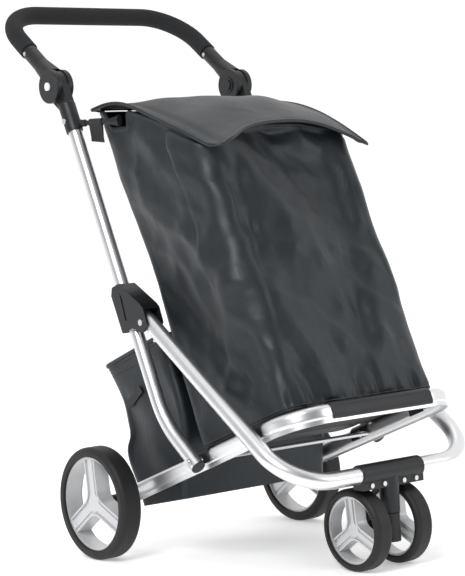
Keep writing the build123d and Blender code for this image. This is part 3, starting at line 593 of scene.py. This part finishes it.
peg_x, peg_along = 0.2085, 0.402
loop_reach, loop_radius = 0.046, 0.0062
for side, sign in (("left", 1), ("right", -1)):
    peg_root = beside_upright(sign * peg_x, 0.0, peg_along)
    peg_line = np.array([-sign * 0.5, -math.cos(math.radians(30)), 0.0])
    middle = peg_root + loop_reach * peg_line
    square = np.cross(peg_line, (0, 0, 1.0))
    angle = np.linspace(-0.35 * np.pi, 1.35 * np.pi, 34)
    upward = np.array([0, 0, 1.0])
    over = middle + loop_radius * (np.cos(angle)[:, None] * square + np.sin(angle)[:, None] * upward)
    drop = np.array([-sign * 0.0125, 0.014, -0.034])
    tail = middle + drop
    t = np.linspace(0, 1, 10)[:, None]
    rising = tail * (1 - t) + over[0] * t
    falling = over[-1] * (1 - t) + (tail + 0.0022 * square) * t
    loop = np.concatenate([rising, over[1:-1], falling])
    tab = strap(f"hanger_loop_{side}", loop, peg_line, 0.024, 0.0015, webbing)
    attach(tab, "uprights")

# ---------------------------------------------------------------- lid
# The flap is one piece of the same nylon on a stiff liner, bound along its edge. It springs from the
# bag's rear top edge, arches over the mouth, and its two front corners droop below the middle.
lid_rows, lid_columns = 110, 150
lid_half_width, lid_corner, lid_run = 0.1745, 0.055, 0.34
axle_y = 0.117  # outlines of the lid and the pocket are drawn forward of the rear axle
t = np.linspace(0.0, 1.0, lid_rows)  # from the rear edge to the front
s = np.linspace(-1.0, 1.0, lid_columns)  # from the right side to the left


def through(points, t):
    """A smooth curve through points: each coordinate is a natural spline of the distance along them."""
    points = np.array(points, float)
    gap = np.hypot(*np.diff(points, axis=0).T)
    at = np.concatenate([[0], np.cumsum(gap)]) / gap.sum()
    out = []
    for values in points.T:
        n = len(at)
        h = np.diff(at)
        system, right = np.eye(n), np.zeros(n)
        for i in range(1, n - 1):
            system[i, i - 1:i + 2] = h[i - 1], 2 * (h[i - 1] + h[i]), h[i]
            right[i] = 6 * ((values[i + 1] - values[i]) / h[i] - (values[i] - values[i - 1]) / h[i - 1])
        m = np.linalg.solve(system, right)
        k = np.clip(np.searchsorted(at, t, side="right") - 1, 0, n - 2)
        a, b = at[k + 1] - t, t - at[k]
        out.append((m[k] * a**3 + m[k + 1] * b**3) / (6 * h[k])
                   + (values[k] / h[k] - m[k] * h[k] / 6) * a
                   + (values[k + 1] / h[k] - m[k + 1] * h[k] / 6) * b)
    return np.stack(out, axis=-1)


middle = through([(-0.040, 0.797), (0.05, 0.809), (0.13, 0.806), (0.20, 0.786), (0.272, 0.753)], t)
near = through([(-0.040, 0.796), (0.0, 0.802), (0.056, 0.800), (0.122, 0.780), (0.188, 0.755),
                (0.244, 0.733), (0.290, 0.716), (0.345, 0.706)], t)
far = through([(-0.040, 0.796), (0.0, 0.802), (0.056, 0.800), (0.13, 0.786), (0.20, 0.762),
               (0.25, 0.738), (0.305, 0.706)], t)
weight = np.abs(s) ** 2.4
edge = np.where((s < 0)[None, :, None], near[:, None], far[:, None])
line = middle[:, None] * (1 - weight)[None, :, None] + edge * weight[None, :, None]
lid_x = np.tile(s * lid_half_width, (lid_rows, 1))
lid_forward, lid_height = line[..., 0].copy(), line[..., 1].copy()
# the front corners are cut round: the last rows stop short of the front near each side
beyond = np.clip(np.abs(lid_x) - (lid_half_width - lid_corner), 0, lid_corner)
beyond *= np.where(lid_x < 0, 1.0, 0.35)
setback = lid_corner - np.sqrt(lid_corner**2 - beyond**2 * 0.985)
stop = t[:, None] * (1 - setback / lid_run)
for k in range(lid_columns):
    lid_forward[:, k] = np.interp(stop[:, k], t, line[:, k, 0])
    lid_height[:, k] = np.interp(stop[:, k], t, line[:, k, 1])
# low ripples where the liner has set, and a soft crease along the bound sides
lid_height += 0.0016 * np.sin(lid_forward * 47 + 2.2 * lid_x * 9) * (1 - np.abs(s)[None] ** 6)
lid_height += 0.0012 * np.sin(lid_x * 61 + lid_forward * 23) * np.sin(np.pi * t)[:, None]
lid_height -= 0.0022 * np.exp(-((np.abs(lid_x) - 0.158) / 0.006) ** 2)
lid_points = np.stack([lid_x, axle_y - lid_forward, lid_height], axis=-1)
lid_uv = np.stack([lid_x, np.tile(t[:, None] * 0.38, (1, lid_columns))], axis=-1)
lid = new_piece("lid_cloth", lid_points, grid_faces(lid_rows, lid_columns), cloth, uv=lid_uv)
thicken(lid, 0.0024, 0.0)
edge_path = np.concatenate(
    [lid_points[:, 0], lid_points[-1, 1:], lid_points[::-1, -1][1:], lid_points[0, ::-1][1:-1]]
)
binding = cord("lid_binding", edge_path, 0.0021, cloth, closed=True, squeeze=1.6)
inner_path = np.concatenate([lid_points[4:-5, 6], lid_points[-5, 6:-6], lid_points[4:-5, -7][::-1]])
inner_path = inner_path + np.array([0, 0, 0.0013])
lid_row = stitches("lid_stitches", inner_path, stitch_gap, stitch_length, stitch_radius, thread)
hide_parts("lid")
for piece in (lid, binding, lid_row):
    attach(piece, "lid")

# ---------------------------------------------------------------- rear pocket
# A deep pouch of the same nylon sewn to the bag's rear panel, open at the top. Its outline sags over
# the axle, and a doubled hem with two rows of stitching runs round its mouth.
pocket_rows, pocket_turns = 90, 220
pocket_half_width, pocket_depth, pocket_corner = 0.164, 0.15, 0.012
pocket_stitch_gap = 0.0045
v = np.linspace(0.0, 1.0, pocket_rows)
rear_line = through([(0.028, 0.085), (0.004, 0.135), (-0.012, 0.165), (-0.014, 0.188), (-0.004, 0.208),
                     (-0.006, 0.232), (-0.014, 0.262), (-0.033, 0.294), (-0.062, 0.331)], v)
front_line = through([(0.155, 0.109), (0.160, 0.165), (0.166, 0.215), (0.158, 0.270), (0.140, 0.325),
                      (0.112, 0.394)], v)
turns = np.arange(pocket_turns) / pocket_turns
ring_x, ring_w, ring_run = rounded_square(turns, pocket_half_width, 0.0, pocket_depth, pocket_corner)
share = ring_w / pocket_depth
pocket_forward = rear_line[:, 0][:, None] * (1 - share) + front_line[:, 0][:, None] * share
pocket_height = rear_line[:, 1][:, None] * (1 - share) + front_line[:, 1][:, None] * share
side_wall = (share > 0.08) & (share < 0.92)
bulge = 0.003 * np.sin(np.pi * v)[:, None] * np.sin(9 * share[None] + 7 * v[:, None]) * side_wall[None]
bulge = bulge - 0.003 * np.exp(-((v - 0.45) / 0.2) ** 2)[:, None] * side_wall[None]
pocket_x = ring_x[None] + np.sign(ring_x)[None] * bulge
rear_wall = (share < 0.02)[None]
ripple = rear_wall * 0.0035 * np.sin(ring_x[None] * 34 + 6 * v[:, None]) * np.sin(np.pi * v)[:, None]
pocket_forward = pocket_forward + ripple
pocket_points = np.stack([pocket_x, axle_y - pocket_forward, pocket_height], axis=-1)
shrink = np.linspace(1.0, 0.0, 12)[1:]
middle = pocket_points[0].mean(axis=0)
pocket_floor = middle + (pocket_points[0] - middle)[None] * shrink[:, None, None]
run = np.concatenate([[0], np.cumsum(np.hypot(*np.diff(rear_line, axis=0).T))])
pocket_uv = np.stack(np.broadcast_arrays(ring_run[None], run[:, None]), axis=-1)
base_uv = np.stack([pocket_floor[..., 0], pocket_floor[..., 1]], axis=-1)[::-1]
body = new_piece(
    "pocket_cloth",
    np.concatenate([pocket_floor[::-1].reshape(-1, 3), pocket_points.reshape(-1, 3)]),
    grid_faces(pocket_rows + len(shrink), pocket_turns, close_columns=True),
    cloth,
    uv=np.concatenate([base_uv.reshape(-1, 2), pocket_uv.reshape(-1, 2)]),
)
tidy_mesh(body)
thicken(body, cloth_thickness)
pocket_hem = cord("pocket_hem", pocket_points[-1], 0.0026, cloth, closed=True, squeeze=1.5)
hem_rows = []
for number, level in enumerate((-4, -9)):
    outward = np.stack([np.sign(ring_x) * side_wall, (share < 0.05) * 1.0, 0 * ring_x], axis=-1) * 0.0008
    around = pocket_points[level] + outward
    around = np.concatenate([around, around[:1]])
    name = f"pocket_stitches_{number}"
    hem_rows.append(stitches(name, around, pocket_stitch_gap, stitch_length, stitch_radius, thread))
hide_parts("rear_pocket")
# a short webbing keeper is sewn across the near gusset
keeper_line = ((0.050, 0.2977), (0.036, 0.286), (0.021, 0.274), (0.007, 0.2647))
keeper_path = np.array([(-0.1678, axle_y - ahead, z) for ahead, z in keeper_line])
keeper = strap("pocket_keeper", keeper_path, (0.0, 0.6, -0.8), 0.015, 0.0016, webbing)
for piece in [body, pocket_hem, keeper] + hem_rows:
    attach(piece, "uprights")
